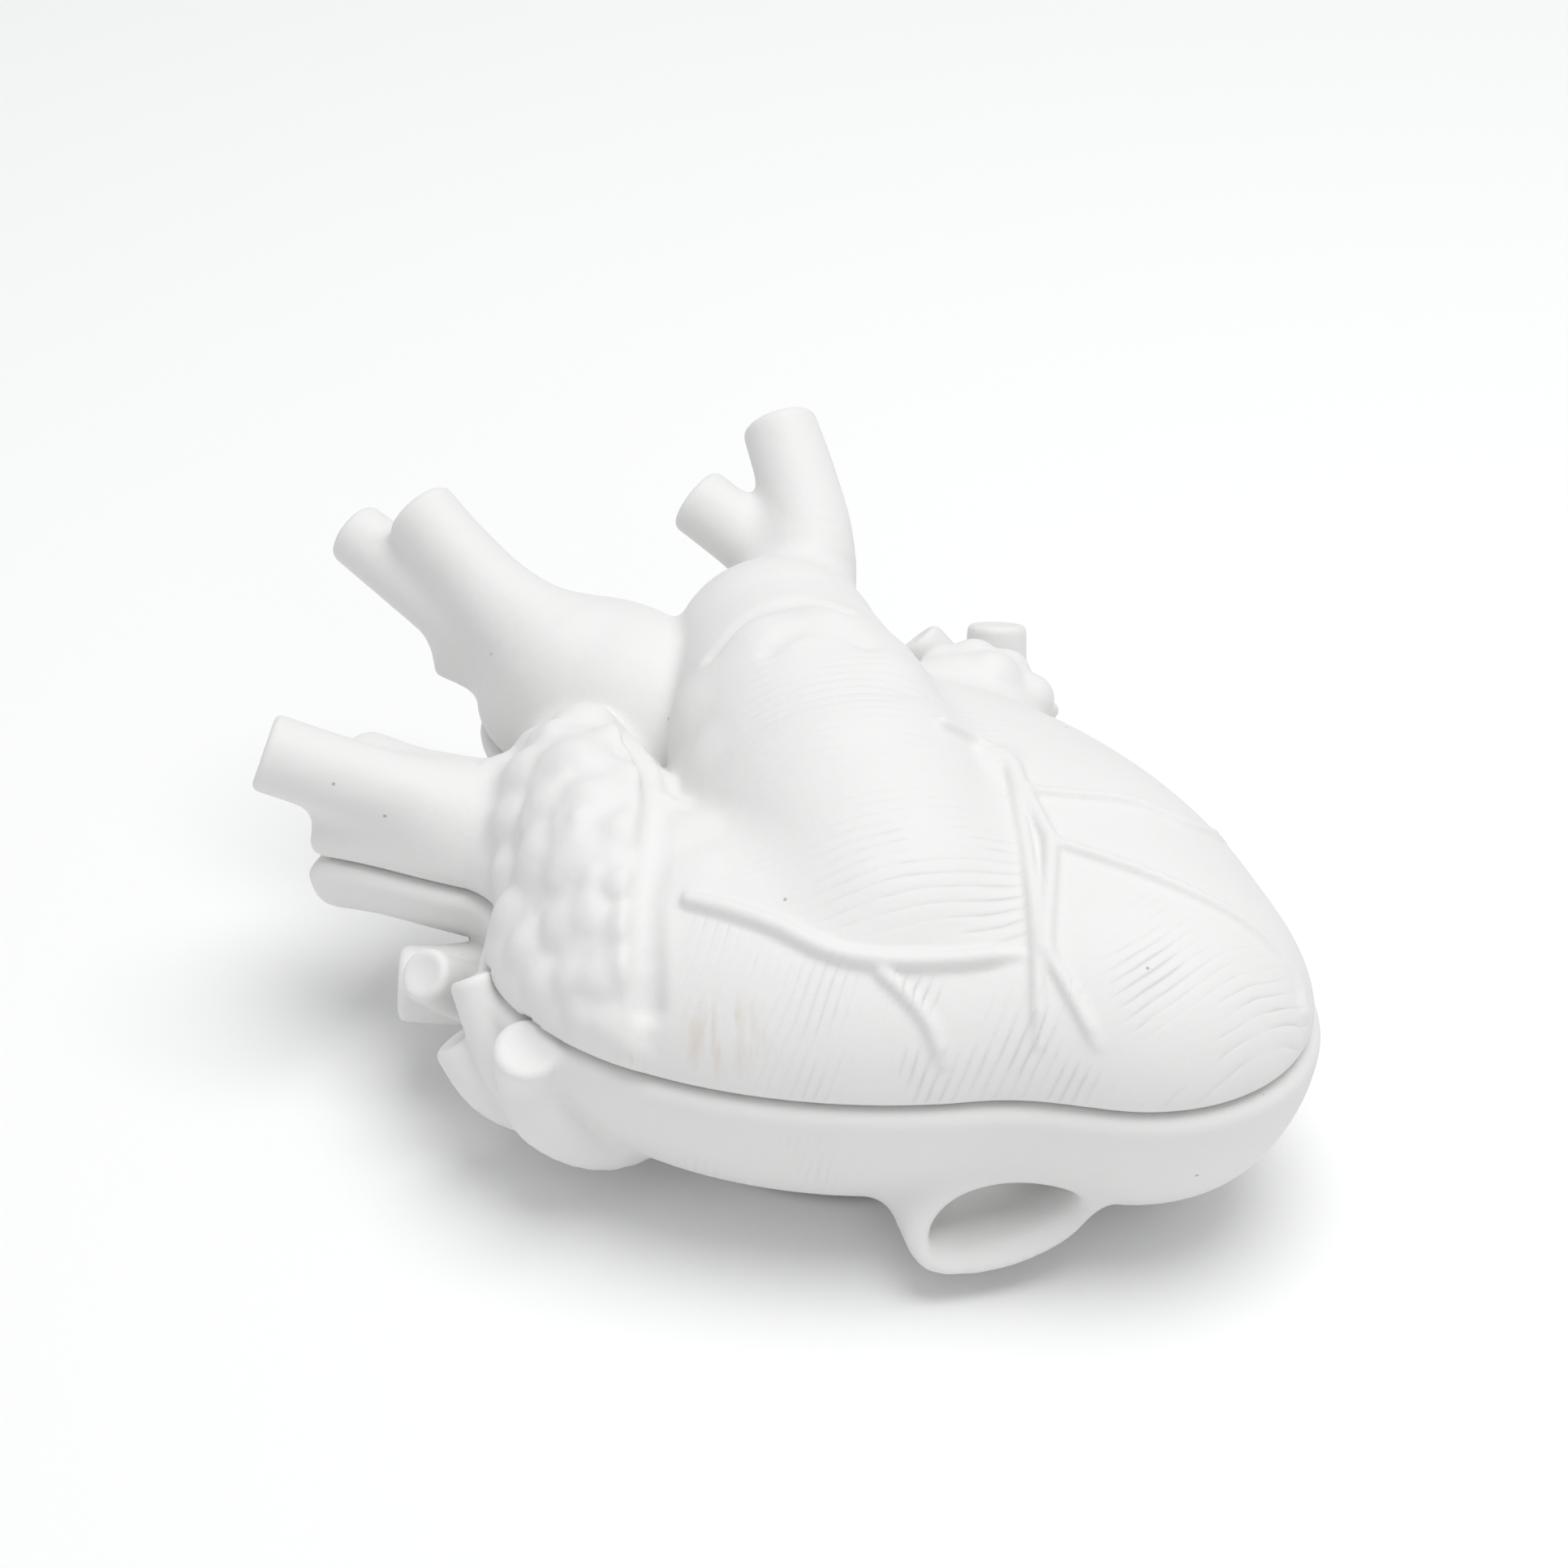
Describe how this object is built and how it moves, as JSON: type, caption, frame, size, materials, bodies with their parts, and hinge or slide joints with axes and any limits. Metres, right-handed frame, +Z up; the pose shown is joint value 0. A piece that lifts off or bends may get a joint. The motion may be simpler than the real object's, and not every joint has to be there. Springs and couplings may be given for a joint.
{
  "type": "wind up music box",
  "caption": "Heart-shaped porcelain music box in two shells, with a comb movement inside and a winding key in the underside.",
  "frame": {"origin": "on the table under the middle of the outline: the centre of the bounding box's underside", "axes": "+Z up as the heart lies on its back, +X towards the apex end, +Y towards the great vessels' side"},
  "size_m": [0.1776, 0.155, 0.0825],
  "materials": {
    "porcelain": "unglazed matte bisque",
    "felt": "pressed wool felt",
    "zinc": "die-cast, satin nickel plate",
    "steel": "satin",
    "spring_steel": "blued",
    "brass": "satin",
    "nylon": "moulded"
  },
  "bodies": {
    "base": {"base_shell": "porcelain", "foot_pad_1": "felt", "foot_pad_2": "felt", "foot_pad_3": "felt", "bed_gasket": "felt", "bedplate": "zinc", "mounting_screw_1": "steel", "mounting_screw_2": "steel", "mounting_screw_3": "steel", "spring_housing": "steel", "mainspring": "spring_steel", "cylinder_bearing": "zinc", "bearing_screw": "steel", "tone_comb": "steel", "comb_screw_1": "steel", "comb_screw_2": "steel", "governor_frame": "zinc", "governor_screw_1": "steel", "governor_screw_2": "steel", "stop_guide": "brass", "stop_spring": "spring_steel"},
    "lid": {"lid_shell": "porcelain"},
    "winding": {"winding_shaft": "steel", "winding_key": "brass"},
    "drive": {"drive_gear": "brass", "clutch_spring": "spring_steel"},
    "cylinder": {"cylinder_arbor": "steel", "cylinder_pinion": "brass", "pin_cylinder": "brass", "cylinder_wheel": "brass"},
    "governor": {"governor_arbor": "steel", "governor_pinion": "brass", "worm_wheel": "brass"},
    "fan": {"worm_shaft": "steel", "air_brake": "nylon"},
    "stop": {"stop_rod": "steel", "stop_arm": "steel"}
  },
  "joints": [
    {"name": "lid_lift", "type": "slide", "parent": "base", "child": "lid", "axis": [0, 0, 1], "range_m": [0, 0.12]},
    {"name": "key_wind", "type": "hinge", "parent": "base", "child": "winding", "pos_m": [0.01246, -0.02067, 0.0082], "axis": [0, 0, 1], "range_deg": [0, 1440]},
    {"name": "cylinder_spin", "type": "hinge", "parent": "base", "child": "cylinder", "pos_m": [0.03686, -0.02067, 0.03805], "axis": [1, 0, 0], "continuous": true},
    {"name": "drive_spin", "type": "hinge", "parent": "base", "child": "drive", "pos_m": [0.01246, -0.02067, 0.0332], "axis": [0, 0, 1], "continuous": true},
    {"name": "governor_spin", "type": "hinge", "parent": "base", "child": "governor", "pos_m": [0.05246, -0.01512, 0.03245], "axis": [1, 0, 0], "continuous": true},
    {"name": "fan_spin", "type": "hinge", "parent": "base", "child": "fan", "pos_m": [0.05246, -0.00802, 0.03245], "axis": [0, 0, 1], "continuous": true},
    {"name": "stop_rise", "type": "slide", "parent": "base", "child": "stop", "axis": [0, 0, 1], "range_m": [0, 0.003]}
  ],
  "couplings": [
    {"joint": "drive_spin", "follows": "cylinder_spin", "ratio": 0.33333},
    {"joint": "governor_spin", "follows": "cylinder_spin", "ratio": -3.3333},
    {"joint": "fan_spin", "follows": "cylinder_spin", "ratio": 66.667},
    {"joint": "stop_rise", "follows": "lid_lift", "ratio": 0.025}
  ]
}
